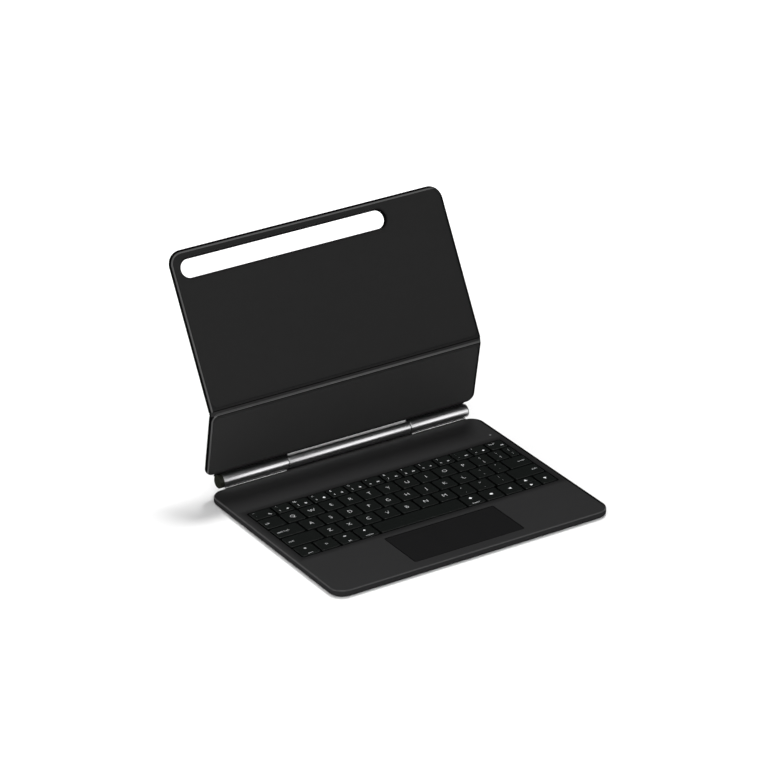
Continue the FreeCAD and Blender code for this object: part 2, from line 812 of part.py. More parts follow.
def make_upper_panel():
    place = upper_placement()
    skin, board, lining = panel_layers(fold_setback, upper_length, panel_corner_radius, fold_setback)
    past_back = -panel_thickness - cut_overshoot
    through = window(0, past_back, cut_overshoot)
    collar = window(window_rim, -board_back_depth, 0).cut(through)
    mouth = through.BoundBox
    mouth.enlarge(same_place)
    lips = [edge for edge in edges_at(collar, "Z", 0) if mouth.isInside(edge.BoundBox)]
    collar = collar.makeFillet(window_edge_radius, lips)
    keep("upper_skin", placed(skin.cut(through).fuse(collar).removeSplitter(), place))
    hole = window(window_rim + panel_fit, past_back, cut_overshoot)
    board = board.cut(hole)
    magnets = []
    magnet_back = -board_front_depth - magnet_thickness
    for x, y in magnet_places():
        reach_x = magnet_width / 2
        reach_y = magnet_depth / 2
        magnets.append(placed(box(x - reach_x, x + reach_x, y - reach_y, y + reach_y,
                                  magnet_back, -board_front_depth), place))
        board = board.cut(box(x - reach_x - panel_fit, x + reach_x + panel_fit,
                              y - reach_y - panel_fit, y + reach_y + panel_fit,
                              magnet_back, cut_overshoot - board_front_depth))
    keep("upper_board", placed(board, place))
    keep("upper_lining", placed(lining.cut(hole), place))
    keep("panel_magnets", *magnets)


def main():
    make_bottom_cover()
    make_deck_cover()
    make_key_plate()
    make_key_supports()
    make_keys()
    make_trackpad()
    make_electronics()
    make_barrel()
    make_base_leaves()
    make_lower_panel()
    make_upper_panel()
    os.makedirs("parts", exist_ok=True)
    for name, shape in parts.items():
        shape.exportStep("parts/" + name + ".step")
    print(len(parts), "sub-parts")
    print("hinge axis y, z:", round(axis_y, 3), round(axis_z, 3))
    print("fold axis y, z:", round(fold_axis().y, 3), round(fold_axis().z, 3))
    print("trackpad axis y, z:", round(trackpad_rear + tongue_length, 3), round(trackpad_underside(), 3))


main()
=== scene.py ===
# %% [markdown]
# # A folding keyboard case for a tablet
# The case stands open on a pale floor: a thin keyboard base, a polished hinge barrel along its rear edge and
# a back panel in two leaves with a crease between them. The construction comes ready made as a frame of
# solids. This lesson dresses it: finishes for every surface, the marks on the keys, the skin that crosses
# the crease, and then floor, light and camera.

# %% Load the frame
import json
import math

import bmesh
import bpy
from mathutils import Matrix, Vector


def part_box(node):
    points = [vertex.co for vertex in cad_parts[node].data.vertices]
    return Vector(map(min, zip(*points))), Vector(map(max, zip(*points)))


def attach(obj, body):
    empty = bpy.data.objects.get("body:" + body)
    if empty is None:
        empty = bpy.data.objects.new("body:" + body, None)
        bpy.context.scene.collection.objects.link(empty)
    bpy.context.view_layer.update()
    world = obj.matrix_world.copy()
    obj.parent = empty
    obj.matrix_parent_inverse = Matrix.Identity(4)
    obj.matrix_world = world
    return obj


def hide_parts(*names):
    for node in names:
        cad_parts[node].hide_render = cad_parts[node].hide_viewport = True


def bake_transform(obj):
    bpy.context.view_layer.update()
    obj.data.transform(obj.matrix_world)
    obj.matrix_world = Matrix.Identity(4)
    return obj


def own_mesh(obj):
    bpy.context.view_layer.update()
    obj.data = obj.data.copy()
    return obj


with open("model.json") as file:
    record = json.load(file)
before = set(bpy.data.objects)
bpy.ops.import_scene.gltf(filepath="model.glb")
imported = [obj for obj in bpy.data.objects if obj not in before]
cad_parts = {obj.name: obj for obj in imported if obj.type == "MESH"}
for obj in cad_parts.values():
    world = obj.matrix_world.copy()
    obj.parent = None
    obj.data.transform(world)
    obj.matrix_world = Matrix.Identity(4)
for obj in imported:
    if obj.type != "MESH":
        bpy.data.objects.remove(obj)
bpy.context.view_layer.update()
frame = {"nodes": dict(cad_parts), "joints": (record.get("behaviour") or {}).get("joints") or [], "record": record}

nodes = frame["nodes"]
MM = 0.001
scene = bpy.context.scene

# %% [markdown]
# ## Sums on a surface
# A finish is a small network of nodes. Wiring each sum by hand hides what it means, so one class wraps a
# socket and lets Python's own signs do the wiring: `0.4 + 0.1 * grain` adds two Math nodes. A second class
# holds one material and has a single method for every other node.

# %% The two helpers for materials
class Signal:
    """A value that changes over a surface, used in plain sums."""

    def __init__(self, finish, socket):
        self.finish = finish
        self.socket = socket

    def sum(self, operation, first, second):
        return self.finish.node("ShaderNodeMath", {"operation": operation}, {0: first, 1: second})

    def __add__(self, other):
        return self.sum("ADD", self, other)

    __radd__ = __add__

    def __sub__(self, other):
        return self.sum("SUBTRACT", self, other)

    def __rsub__(self, other):
        return self.sum("SUBTRACT", other, self)

    def __mul__(self, other):
        return self.sum("MULTIPLY", self, other)

    __rmul__ = __mul__

    def __pow__(self, other):
        return self.sum("POWER", self, other)


class Finish:
    """One material: a Principled shader, and the nodes that vary it over the surface."""

    def __init__(self, name, constants):
        self.material = bpy.data.materials.new(name)
        self.material.use_nodes = True
        self.tree = self.material.node_tree
        self.shader = self.tree.nodes["Principled BSDF"]
        for socket, value in constants.items():
            self.shader.inputs[socket].default_value = value
        self.place = self.node("ShaderNodeTexCoord", out="Object")

    def node(self, kind, settings=None, sockets=None, out=0):
        made = self.tree.nodes.new(kind)
        for name, value in (settings or {}).items():
            setattr(made, name, value)
        for name, value in (sockets or {}).items():
            self.feed(made.inputs[name], value)
        return Signal(self, made.outputs[out])

    def feed(self, socket, value):
        if isinstance(value, Signal):
            self.tree.links.new(value.socket, socket)
        else:
            socket.default_value = value

    def vary(self, socket, value):
        self.feed(self.shader.inputs[socket], value)

    def stretched(self, scale):
        """The surface's own coordinates, stretched along the axes."""
        return self.node("ShaderNodeMapping", {}, {"Vector": self.place, "Scale": scale}, "Vector")

    def noise(self, cells_per_metre, detail=2.0, place=None):
        sockets = {"Vector": place or self.place, "Scale": cells_per_metre, "Detail": detail}
        return self.node("ShaderNodeTexNoise", {}, sockets, 0)

    def cells(self, cells_per_metre, feature="F1", place=None):
        sockets = {"Vector": place or self.place, "Scale": cells_per_metre}
        return self.node("ShaderNodeTexVoronoi", {"feature": feature}, sockets, "Distance")

    def between(self, factor, low, high):
        """A colour that goes from low to high as the factor goes from 0 to 1."""
        ends = [end if isinstance(end, Signal) else (*end, 1.0) for end in (low, high)]
        return self.node("ShaderNodeMix", {"data_type": "RGBA"}, {0: factor, 6: ends[0], 7: ends[1]}, 2)

    def facing(self, direction):
        """1 where the surface faces along the direction, 0 square to it, -1 where it faces away."""
        normal = self.node("ShaderNodeTexCoord", out="Normal")
        sockets = {0: normal, 1: direction}
        return self.node("ShaderNodeVectorMath", {"operation": "DOT_PRODUCT"}, sockets, "Value")

    def band(self, value, start, full, fade, end):
        """0 up to start, 1 from full to fade, and 0 again from end."""
        return self.limited(value, start, full) * (1 - self.limited(value, fade, end))

    def limited(self, value, low, high):
        """0 where the value is low, 1 where it is high, and straight between."""
        sockets = {"Value": value, "From Min": low, "From Max": high}
        return self.node("ShaderNodeMapRange", {"clamp": True}, sockets, 0)

    def relief(self, height, depth, strength=1.0):
        """Raise and sink the surface by a height from 0 to 1, as deep as given in metres."""
        sockets = {"Height": height, "Distance": depth, "Strength": strength}
        self.vary("Normal", self.node("ShaderNodeBump", {}, sockets, "Normal"))


finishes = {}


def shades(colour, spread):
    """A darker and a lighter version of a colour."""
    low = tuple(channel * (1 - spread) for channel in colour)
    high = tuple(channel * (1 + spread) for channel in colour)
    return low, high


print("helpers ready")

# %% [markdown]
# ## Soft-touch shell
# The two halves of the base are moulded plastic with a soft matt lacquer. Close up the lacquer is a fine
# even grain, and from a step away it is a little uneven where hands rest. Two noises at these two sizes give
# that. The flat faces swallow reflections, but hands polish the rounded edges, which catch the light as a
# thin line. So a clear coat lies only where the surface is neither level nor upright. A narrow strip along
# the right edge of the base is painted black, as painted shade on the side away from the lamps, and the deck
# close round the keys is painted darker, as painted shade round the well of the keys. How far a point lies
# from that edge or outside the block of keys follows from its own place.

# %% Shell finish
UP = (0.0, 0.0, 1.0)
# The black of painted shade: at the right edge of the base, round the keys and round the trackpad.
PAINTED_SHADE_BLACK = (0.002, 0.002, 0.002)
SHADED_EDGE_STRIP = 3.3 * MM
KEY_WELL_SHADE_REACH = 7.0 * MM
KEY_WELL_SHADE_SHARE = 0.45


def edge_room(finish, box):
    """How far a point lies inside the nearest side of a box, seen from above, and below 0 outside it."""
    centre, half = (box[0] + box[1]) / 2, (box[1] - box[0]) / 2
    room = []
    for axis, name in enumerate("XY"):
        place = finish.node("ShaderNodeSeparateXYZ", {}, {0: finish.place}, name) - centre[axis]
        room.append(half[axis] - place.sum("ABSOLUTE", place, 0.0))
    return room[0].sum("MINIMUM", *room)


def shell_finish(name, colour, rough, polish, keys=None):
    finish = Finish(name, {"Specular IOR Level": 0.0, "Coat IOR": 1.4, "Coat Roughness": 0.36})
    grain = finish.noise(6500.0)
    handling = finish.noise(28.0, 3.0)
    lacquer = finish.between(0.55 * handling + 0.45 * grain, *shades(colour, 0.10))
    if keys:
        # Painted shade: the deck is painted darker close round the block of keys.
        key_well_shade = finish.limited(edge_room(finish, keys), -KEY_WELL_SHADE_REACH, -0.4 * KEY_WELL_SHADE_REACH)
        lacquer = finish.between(KEY_WELL_SHADE_SHARE * key_well_shade, lacquer, PAINTED_SHADE_BLACK)
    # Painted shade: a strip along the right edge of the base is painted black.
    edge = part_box("bottom_cover")[1].x - SHADED_EDGE_STRIP
    across = finish.node("ShaderNodeSeparateXYZ", {}, {0: finish.place}, "X")
    strip = finish.limited(across, edge, edge + 0.2 * SHADED_EDGE_STRIP)
    strip = strip * finish.limited(finish.facing(UP), 0.3, 0.6)
    finish.vary("Base Color", finish.between(strip, lacquer, PAINTED_SHADE_BLACK))
    finish.vary("Roughness", rough + 0.12 * (handling - 0.5) + 0.08 * (grain - 0.5))
    finish.vary("Coat Weight", polish * finish.band(finish.facing(UP), 0.10, 0.35, 0.80, 0.90))
    finish.relief(grain, 0.00004, 0.5)
    return finish


def box_round(names):
    """Low and high corners of a box round several solids."""
    boxes = [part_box(name) for name in names]
    return (Vector([min(low[axis] for low, high in boxes) for axis in range(3)]),
            Vector([max(high[axis] for low, high in boxes) for axis in range(3)]))


SHELL_BLACK = (0.0199, 0.0199, 0.0202)
subparts = frame["record"]["subparts"]
key_block = box_round([subpart["node"] for subpart in subparts if subpart["material_slot"] == "keycap"])
finishes["shell"] = shell_finish("soft_touch_black", SHELL_BLACK, 0.52, 1.0)
finishes["end_cap"] = shell_finish("cap_black", (0.0144, 0.0151, 0.0117), 0.55, 0.2)
own_finishes = {"deck_cover": shell_finish("soft_touch_deck", SHELL_BLACK, 0.52, 1.0, key_block)}
print("block of keys in mm:", [round(side / MM, 1) for side in key_block[1] - key_block[0]])

# %% [markdown]
# ## Keycaps and touch surface
# The caps are a denser, darker black with the faint green of carbon black. Fingers polish the middle of a
# cap, so its gloss is uneven on the scale of a fingertip. The rounded edges get a thin clear coat, thickest at
# the front left corner of each cap, which shows as a small glint. The trackpad is a satin plate: smoother than
# the shell, with a grain too fine to see as more than a softer reflection. A narrow border along its edges is
# painted black: painted shade for the gap round the plate. How far a point lies inside the border follows from
# its own place on the plate.

# %% Key and trackpad finishes
BORDER = 0.6 * MM
CAP_CORNER = (-0.45, -0.72, 0.53)


def keycap_finish():
    finish = Finish("keycap_black", {"Specular IOR Level": 0.0, "Coat IOR": 1.45, "Coat Roughness": 0.3})
    grain = finish.noise(9000.0)
    polish = finish.noise(120.0, 2.0)
    low, high = shades((0.0064, 0.0073, 0.0069), 0.16)
    finish.vary("Base Color", finish.between(0.5 * polish + 0.5 * grain, low, high))
    finish.vary("Roughness", 0.46 + 0.16 * (polish - 0.5) + 0.06 * (grain - 0.5))
    corner = finish.limited(finish.facing(CAP_CORNER), 0.90, 0.96)
    rounded = finish.band(finish.facing(UP), 0.10, 0.35, 0.90, 0.97)
    finish.vary("Coat Weight", rounded * (0.3 + 0.7 * corner))
    finish.relief(grain, 0.00003, 0.4)
    return finish


def touch_finish():
    finish = Finish("touch_satin", {"Specular IOR Level": 0.0})
    grain = finish.noise(14000.0)
    smears = finish.noise(45.0, 4.0, finish.stretched((1.0, 0.6, 1.0)))
    satin = finish.between(smears, *shades((0.0081, 0.0081, 0.0083), 0.06))
    # Painted shade: a narrow border round the plate is painted black, where the gap round it lies in shade.
    inside = finish.limited(edge_room(finish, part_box("trackpad_plate")), 0.7 * BORDER, BORDER)
    finish.vary("Base Color", finish.between(inside, PAINTED_SHADE_BLACK, satin))
    finish.vary("Roughness", 0.42 + 0.10 * (smears - 0.5) + 0.04 * (grain - 0.5))
    finish.relief(grain, 0.00002, 0.3)
    return finish


finishes["keycap"] = keycap_finish()
finishes["touch_surface"] = touch_finish()
print("keys and trackpad have their finishes")

# %% [markdown]
# ## The panel's skin and lining
# The back panels are wrapped in artificial leather with a fine pebble grain: flattened cells with darker
# valleys between them. The turned edge is painted black, as on a belt. At the left and the top of each leaf a
# thin bright line is painted along the rim: a painted highlight, where light from the upper left would catch
# the rounded edge. Near the right edge the front is painted black as well, as painted shade. Which part of
# the skin is front, edge or back follows from the way that it faces, compared with the leaf's front. The two
# leaves lean differently, so their directions are worked out first, from the joints.

# %% How the leaves stand
joints = {joint["name"]: joint for joint in frame["joints"]}


def leaf_directions():
    """Unit vectors up the lower leaf and up the upper leaf, from the ranges of the joints."""
    hinge_range = math.radians(joints["back_hinge"]["range_deg"][1])
    fold_range = math.radians(joints["cover_fold"]["range_deg"][1])
    forward = math.pi / 2 - hinge_range
    backward = fold_range - forward
    return (Vector((0.0, -math.sin(forward), math.cos(forward))),
            Vector((0.0, math.sin(backward), math.cos(backward))))


def front_of(up_the_leaf):
    return Vector((0.0, -up_the_leaf.z, up_the_leaf.y))


lower_up, upper_up = leaf_directions()
lower_front, upper_front = front_of(lower_up), front_of(upper_up)
print("the leaves face", [round(value, 3) for value in lower_front], [round(value, 3) for value in upper_front])

# %% Skin finish
EDGE_PAINT = (0.003, 0.003, 0.003)
# Colours of the painted highlight along the rim, brighter on the lower leaf.
LOWER_HIGHLIGHT, UPPER_HIGHLIGHT = 0.076, 0.040
# The lower leaf is painted lighter than the upper one: painted light that makes up for its leaning away from the
# lamps.
LOWER_TONE, UPPER_TONE = 0.0247, 0.0162
LINE_INSET = 1.9 * MM
LINE_END = 3.1 * MM
LINE_FADE = 0.2 * MM
LINE_SIDE_STEP = 0.7 * MM
LINE_FOLD_STEP = 2.8 * MM


def leaf_corner(node, up_the_leaf, step_up):
    """Where the line's corner lies: a step outside the leaf's left, and a step above its top."""
    top = max(vert.co.dot(up_the_leaf) for vert in nodes[node].data.vertices)
    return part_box(node)[0].x - LINE_SIDE_STEP, top + step_up


def rim_distance(finish, corner, up_the_leaf, radius):
    """Distance inwards from the left and the top of a leaf whose corner between them is round."""
    left, top = corner
    across = finish.node("ShaderNodeSeparateXYZ", {}, {0: finish.place}, "X")
    sockets = {0: finish.place, 1: up_the_leaf}
    along = finish.node("ShaderNodeVectorMath", {"operation": "DOT_PRODUCT"}, sockets, "Value")
    sideways, upwards = (left + radius) - across, along - (top - radius)
    sideways = sideways.sum("MAXIMUM", sideways, 0.0)
    upwards = upwards.sum("MAXIMUM", upwards, 0.0)
    return radius - (sideways * sideways + upwards * upwards) ** 0.5


def skin_finish(name, front, up_the_leaf, tone, highlight_tone, corner, radius, right):
    finish = Finish(name, {"Specular IOR Level": 0.0, "Coat IOR": 1.4, "Coat Roughness": 0.3})
    toward = finish.facing(front)
    behind = finish.limited(toward, -0.80, -0.95)
    pebbles = finish.limited(finish.cells(1500.0, "DISTANCE_TO_EDGE"), 0.0, 0.22)
    pores = finish.noise(5200.0, 2.0)
    wear = finish.noise(40.0, 3.0)
    grain = finish.between(0.6 * pebbles + 0.4 * wear, (0.011,) * 3, (0.021,) * 3)
    across = finish.node("ShaderNodeSeparateXYZ", {}, {0: finish.place}, "X")
    # Painted shade: near the right edge the front is painted black like the edge.
    inside = finish.limited(toward, 0.93, 0.99) * finish.limited(across, right - LINE_INSET, right - LINE_END)
    faces = finish.between(inside, EDGE_PAINT, shades((tone,) * 3, 0.1)[0])
    inward = rim_distance(finish, corner, up_the_leaf, radius)
    # Painted highlight: a thin bright line along the rim at the left and the top of the leaf.
    line = finish.band(inward, LINE_INSET - LINE_FADE, LINE_INSET, LINE_END, LINE_END + LINE_FADE)
    line = line * finish.limited(toward, 0.1, 0.3)
    finish.vary("Base Color", finish.between(behind, finish.between(line, faces, (highlight_tone,) * 3), grain))
    finish.vary("Roughness", 0.60 - 0.10 * pebbles + 0.10 * (wear - 0.5))
    finish.vary("Coat Weight", line + 0.20 * behind)
    finish.relief(behind * (0.8 * pebbles + 0.2 * pores), 0.00006, 0.6)
    return finish


panel_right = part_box("lower_skin")[1].x
lower_corner = leaf_corner("lower_skin", lower_up, LINE_FOLD_STEP)
upper_corner = leaf_corner("upper_skin", upper_up, 0.0)
own_finishes["lower_skin"] = skin_finish("lower_grained_skin", lower_front, lower_up, LOWER_TONE, LOWER_HIGHLIGHT,
                                         lower_corner, 8.0 * MM, panel_right)
own_finishes["upper_skin"] = skin_finish("upper_grained_skin", upper_front, upper_up, UPPER_TONE, UPPER_HIGHLIGHT,
                                         upper_corner, 12.0 * MM, panel_right)
print("skins:", own_finishes["lower_skin"].material.name, own_finishes["upper_skin"].material.name)

# %% [markdown]
# The inner faces carry a short-napped microfibre, whose tiny hairs scatter light so evenly that it looks
# flat, with only a faint brushed cloudiness. The lower leaf is painted lighter than the upper one: painted
# light that makes up for the lower leaf leaning away from the lamps.

# %% Lining finish
def lining_finish(name, tone):
    finish = Finish(name, {"Specular IOR Level": 0.0, "Sheen Weight": 0.02, "Sheen Roughness": 0.6})
    nap = finish.noise(5200.0, 4.0, finish.stretched((1.0, 0.45, 0.45)))
    clouds = finish.noise(22.0, 2.0)
    low, high = shades((tone, tone, tone), 0.12)
    finish.vary("Base Color", finish.between(0.7 * nap + 0.3 * clouds, low, high))
    finish.vary("Roughness", 0.88 + 0.10 * (nap - 0.5))
    finish.relief(nap, 0.00005, 0.5)
    return finish


own_finishes["lower_lining"] = lining_finish("lower_microfibre", LOWER_TONE)
own_finishes["upper_lining"] = lining_finish("upper_microfibre", UPPER_TONE)
print("linings:", own_finishes["lower_lining"].material.name, own_finishes["upper_lining"].material.name)

# %% [markdown]
# ## Metals
# The barrel is a polished drawn tube: very faint lines run along it, and its reflection does the rest. The
# steel leaves beside it are plainer, with stronger drawing lines. A noise that is stretched along X draws
# such lines. On the tube it only touches the roughness, because any relief would break its white band. The
# leaf of the panel is painted black from a little above the barrel, where it goes into the panel: painted
# shade for the dark gap there.

# %% Metal finishes
def drawn_metal(name, colour, rough, line_depth, line_share):
    finish = Finish(name, {"Metallic": 1.0})
    lines = finish.noise(4200.0, 3.0, finish.stretched((0.012, 1.0, 1.0)))
    stain = finish.noise(60.0, 3.0)
    low, high = shades(colour, 0.04)
    finish.vary("Base Color", finish.between(stain, low, high))
    finish.vary("Roughness", rough + line_share * (lines - 0.5) + 0.03 * (stain - 0.5))
    if line_depth:
        finish.relief(lines, line_depth, 0.3)
    return finish


finishes["polished_tube"] = drawn_metal("polished_tube", (0.45, 0.45, 0.455), 0.29, 0.0, 0.03)
finishes["hinge_steel"] = drawn_metal("drawn_steel", (0.55, 0.55, 0.55), 0.45, 0.00001, 0.20)
finishes["socket_shell"] = drawn_metal("socket_steel", (0.60, 0.60, 0.61), 0.26, 0.000005, 0.12)
finishes["magnet"] = drawn_metal("nickel_plate", (0.62, 0.60, 0.56), 0.22, 0.000004, 0.08)
finishes["key_steel"] = drawn_metal("blackened_steel", (0.05, 0.05, 0.05), 0.45, 0.00001, 0.15)
BRIGHT_REACH = 6.25 * MM
hinge = Vector(joints["back_hinge"]["pos_m"])


def panel_leaf_finish():
    finish = drawn_metal("panel_leaf_steel", (0.60, 0.60, 0.60), 0.45, 0.00001, 0.20)
    sockets = {0: finish.place, 1: lower_up}
    along = finish.node("ShaderNodeVectorMath", {"operation": "DOT_PRODUCT"}, sockets, "Value")
    start = hinge.dot(lower_up) + BRIGHT_REACH
    # Painted shade: from here up the leaf is painted black, for the dark gap where it goes into the panel.
    painted_shade_band = finish.limited(along, start, start + LINE_FADE)
    finish.vary("Base Color", finish.between(painted_shade_band, (0.60,) * 3, (0.02,) * 3))
    return finish


own_finishes["panel_hinge_leaf"] = panel_leaf_finish()
own_finishes["base_hinge_leaves"] = drawn_metal("bright_steel", (0.55, 0.55, 0.55), 0.25, 0.000004, 0.08)
print("metal finishes ready")

# %% [markdown]
# ## What lies inside
# The keys stand on links, rubber domes and a printed film, and the base holds a battery and two boards.
# Little of it shows, but the parts are real, so each has the finish that it would have on the bench.

# %% Inner finishes
def moulded_finish(name, colour, rough):
    finish = Finish(name, {"Specular IOR Level": 0.3})
    grain = finish.noise(3800.0)
    low, high = shades(colour, 0.12)
    finish.vary("Base Color", finish.between(grain, low, high))
    finish.vary("Roughness", rough + 0.12 * (grain - 0.5))
    finish.relief(grain, 0.00003, 0.4)
    return finish


def printed_finish(name, ground, track, per_metre):
    """A board or film: broad tracks in one direction that jog where a coarse cell pattern breaks them."""
    finish = Finish(name, {"Specular IOR Level": 0.4})
    jogs = finish.cells(per_metre / 6.0)
    stripes = finish.noise(per_metre, 0.0, finish.stretched((0.08, 1.0, 1.0)))
    tracks = finish.limited(stripes + 0.15 * jogs, 0.52, 0.56)
    finish.vary("Base Color", finish.between(tracks, ground, track))
    finish.vary("Roughness", 0.42 - 0.12 * tracks)
    finish.relief(tracks, 0.00003, 0.6)
    return finish


def pouch_finish():
    finish = Finish("foil_pouch", {"Metallic": 1.0})
    creases = finish.noise(180.0, 5.0)
    finish.vary("Base Color", finish.between(creases, (0.42, 0.42, 0.43), (0.62, 0.62, 0.63)))
    finish.vary("Roughness", 0.28 + 0.25 * creases)
    finish.relief(creases, 0.0002, 0.6)
    return finish


def lens_finish():
    finish = Finish("frosted_lens", {"Specular IOR Level": 0.4})
    frost = finish.noise(5000.0)
    finish.vary("Base Color", finish.between(frost, (0.09, 0.09, 0.09), (0.15, 0.15, 0.15)))
    finish.vary("Roughness", 0.35 + 0.2 * frost)
    return finish


finishes["panel_core"] = moulded_finish("fibre_sheet", (0.05, 0.05, 0.045), 0.6)
finishes["key_link"] = moulded_finish("link_plastic", (0.012, 0.012, 0.012), 0.5)
finishes["key_dome"] = moulded_finish("dome_rubber", (0.035, 0.035, 0.034), 0.65)
finishes["switch_body"] = moulded_finish("switch_plastic", (0.05, 0.05, 0.05), 0.5)
finishes["circuit_film"] = printed_finish("circuit_film", (0.004, 0.004, 0.004), (0.008, 0.008, 0.008), 700.0)
finishes["circuit_board"] = printed_finish("circuit_board", (0.004, 0.030, 0.012), (0.02, 0.09, 0.03), 900.0)
finishes["cell_pouch"] = pouch_finish()
finishes["light_lens"] = lens_finish()
print("inner finishes ready:", len(finishes), "finishes in all")

# %% [markdown]
# ## Dress the solids
# The record says which finish each solid takes, and the skins and linings have their own, so one loop
# dresses all of them.

# %% Give every solid its finish
finishes["panel_skin"] = own_finishes["lower_skin"]
for subpart in subparts:
    node = subpart["node"]
    finish = own_finishes[node] if node in own_finishes else finishes[subpart["material_slot"]]
    for slot in nodes[node].material_slots:
        slot.material = finish.material
print("dressed", len(subparts), "solids")

# %% [markdown]
# ## Marks on the keys
# The marks are white ink, a film so thin that it only just stands on the cap. Letters sit in the middle of
# their keys. The number row has the shifted sign above the digit at the left and a small pictogram at the
# right. Words are set at the side of the wide keys. Text becomes a thin closed mesh, and pictograms are put
# together from discs, bars and triangles. All marks of one moving key, or of one group of keys, make one
# piece that rides on that key.

# %% The ink and the tools for marks
INK_HEIGHT = 0.03 * MM
LETTER_HEIGHT = 4.25 * MM
SIGN_HEIGHT = 2.5 * MM
WORD_HEIGHT = 2.3 * MM
STROKE_TRIM = 0.06
CAP_HEIGHT_SHARE = 0.73


def ink_finish():
    finish = Finish("white_ink", {"Specular IOR Level": 0.3})
    cover = finish.noise(4000.0, 2.0)
    finish.vary("Base Color", finish.between(cover, (0.56, 0.57, 0.58), (0.70, 0.71, 0.72)))
    finish.vary("Roughness", 0.5 + 0.2 * (cover - 0.5))
    return finish


finishes["ink"] = ink_finish()


def add_text(marks, text, height, place, align="CENTER"):
    """Set a word flat on a key: place is the middle of its line, at the chosen side."""
    curve = bpy.data.curves.new("word", "FONT")
    curve.body = text
    curve.size = height / CAP_HEIGHT_SHARE
    curve.align_x = align
    curve.align_y = "CENTER"
    curve.offset = -STROKE_TRIM * height / 2
    curve.extrude = INK_HEIGHT / 2
    curve.resolution_u = 3
    carrier = bpy.data.objects.new("word", curve)
    scene.collection.objects.link(carrier)
    mesh = bpy.data.meshes.new_from_object(carrier.evaluated_get(bpy.context.evaluated_depsgraph_get()))
    mesh.transform(Matrix.Translation(place))
    marks.from_mesh(mesh)
    bpy.data.meshes.remove(mesh)
    bpy.data.objects.remove(carrier)
    bpy.data.curves.remove(curve)


def add_disc(marks, place, radius, corners=16, turn=0.0):
    """A flat disc of ink, or with three corners a triangle."""
    move = Matrix.Translation(place) @ Matrix.Rotation(turn, 4, "Z")
    bmesh.ops.create_cone(marks, cap_ends=True, segments=corners, radius1=radius, radius2=radius,
                          depth=INK_HEIGHT, matrix=move)


def add_bar(marks, place, length, width, turn=0.0):
    size = Matrix.Diagonal((length, width, INK_HEIGHT, 1.0))
    move = Matrix.Translation(place) @ Matrix.Rotation(turn, 4, "Z")
    bmesh.ops.create_cube(marks, size=1.0, matrix=move @ size)


print("white ink is", round(INK_HEIGHT / MM, 3), "mm thick")

# %% [markdown]
# ### Find the caps
# Letters and the space bar are solids of their own. The other keys come in groups, so their caps are found
# by walking from point to point through a copy of the group's mesh: what hangs together is one cap. The same
# walk finds the two outer tubes of the barrel later.

# %% Boxes of the solids in a node
def solid_boxes(node):
    """Low and high corners of each separate solid, from the back row to the front and from left to right."""
    copy = bmesh.new()
    copy.from_mesh(nodes[node].data)
    bmesh.ops.remove_doubles(copy, verts=copy.verts[:], dist=0.01 * MM)
    waiting = set(copy.verts)
    boxes = []
    while waiting:
        island = [waiting.pop()]
        for vert in island:
            for edge in vert.link_edges:
                other = edge.other_vert(vert)
                if other in waiting:
                    waiting.remove(other)
                    island.append(other)
        low = Vector([min(vert.co[axis] for vert in island) for axis in range(3)])
        high = Vector([max(vert.co[axis] for vert in island) for axis in range(3)])
        boxes.append((low, high))
    copy.free()
    return sorted(boxes, key=lambda box: (-round(box[0].y / MM), box[0].x))


groups = {name: solid_boxes(name) for name in ("number_keys", "punctuation_keys", "command_keys", "arrow_keys")}
print("caps in groups:", {name: len(boxes) for name, boxes in groups.items()})

# %% [markdown]
# ### Pictograms
# Small signs for the second use of the number row and for the modifier keys: a sun, a lens, arrows, a
# loudspeaker. Each is drawn round a middle point, about two and a half millimetres wide.

# %% Pictograms
UNIT = 1.15 * MM
LINE = 0.42 * MM


def sun(marks, place, reach):
    add_disc(marks, place, 0.45 * UNIT)
    for ray in range(8):
        turn = math.tau * ray / 8
        arm = Vector((math.cos(turn), math.sin(turn), 0.0))
        add_bar(marks, place + arm * (0.55 * UNIT + reach / 2), reach, 0.6 * LINE, turn)


def lens(marks, place):
    for step in range(12):
        turn = math.tau * step / 12
        arm = Vector((math.cos(turn), math.sin(turn), 0.0))
        add_bar(marks, place + arm * 0.62 * UNIT, 0.40 * UNIT, 0.7 * LINE, turn + math.pi / 2)
    handle = Vector((0.95, -0.95, 0.0)) * UNIT
    add_bar(marks, place + handle, 0.8 * UNIT, LINE, -math.pi / 4)


def arrows(marks, place, count, turn, bars=0):
    for index in range(count):
        step = Vector(((index - (count - 1) / 2) * 1.1 * UNIT, 0.0, 0.0))
        add_disc(marks, place + step, 0.75 * UNIT, 3, turn - math.pi / 2)
    for index in range(bars):
        add_bar(marks, place + Vector((1.1 + 0.55 * index, 0.0, 0.0)) * UNIT, 1.3 * UNIT, LINE, math.pi / 2)


def speaker(marks, place, waves):
    add_bar(marks, place + Vector((-0.8, 0.0, 0.0)) * UNIT, 0.6 * UNIT, 0.7 * UNIT)
    add_disc(marks, place + Vector((-0.25, 0.0, 0.0)) * UNIT, 0.8 * UNIT, 3, math.pi / 2)
    for wave in range(waves):
        add_bar(marks, place + Vector((0.65 + 0.5 * wave, 0.0, 0.0)) * UNIT, (0.7 + 0.5 * wave) * UNIT,
                0.7 * LINE, math.pi / 2)


def padlock(marks, place):
    add_bar(marks, place - Vector((0.0, 0.35 * UNIT, 0.0)), 1.3 * UNIT, 1.0 * UNIT)
    for side in (-1, 1):
        add_bar(marks, place + Vector((0.42 * side, 0.5, 0.0)) * UNIT, 0.8 * UNIT, 0.7 * LINE, math.pi / 2)
    add_bar(marks, place + Vector((0.0, 0.9 * UNIT, 0.0)), 1.1 * UNIT, 0.7 * LINE)


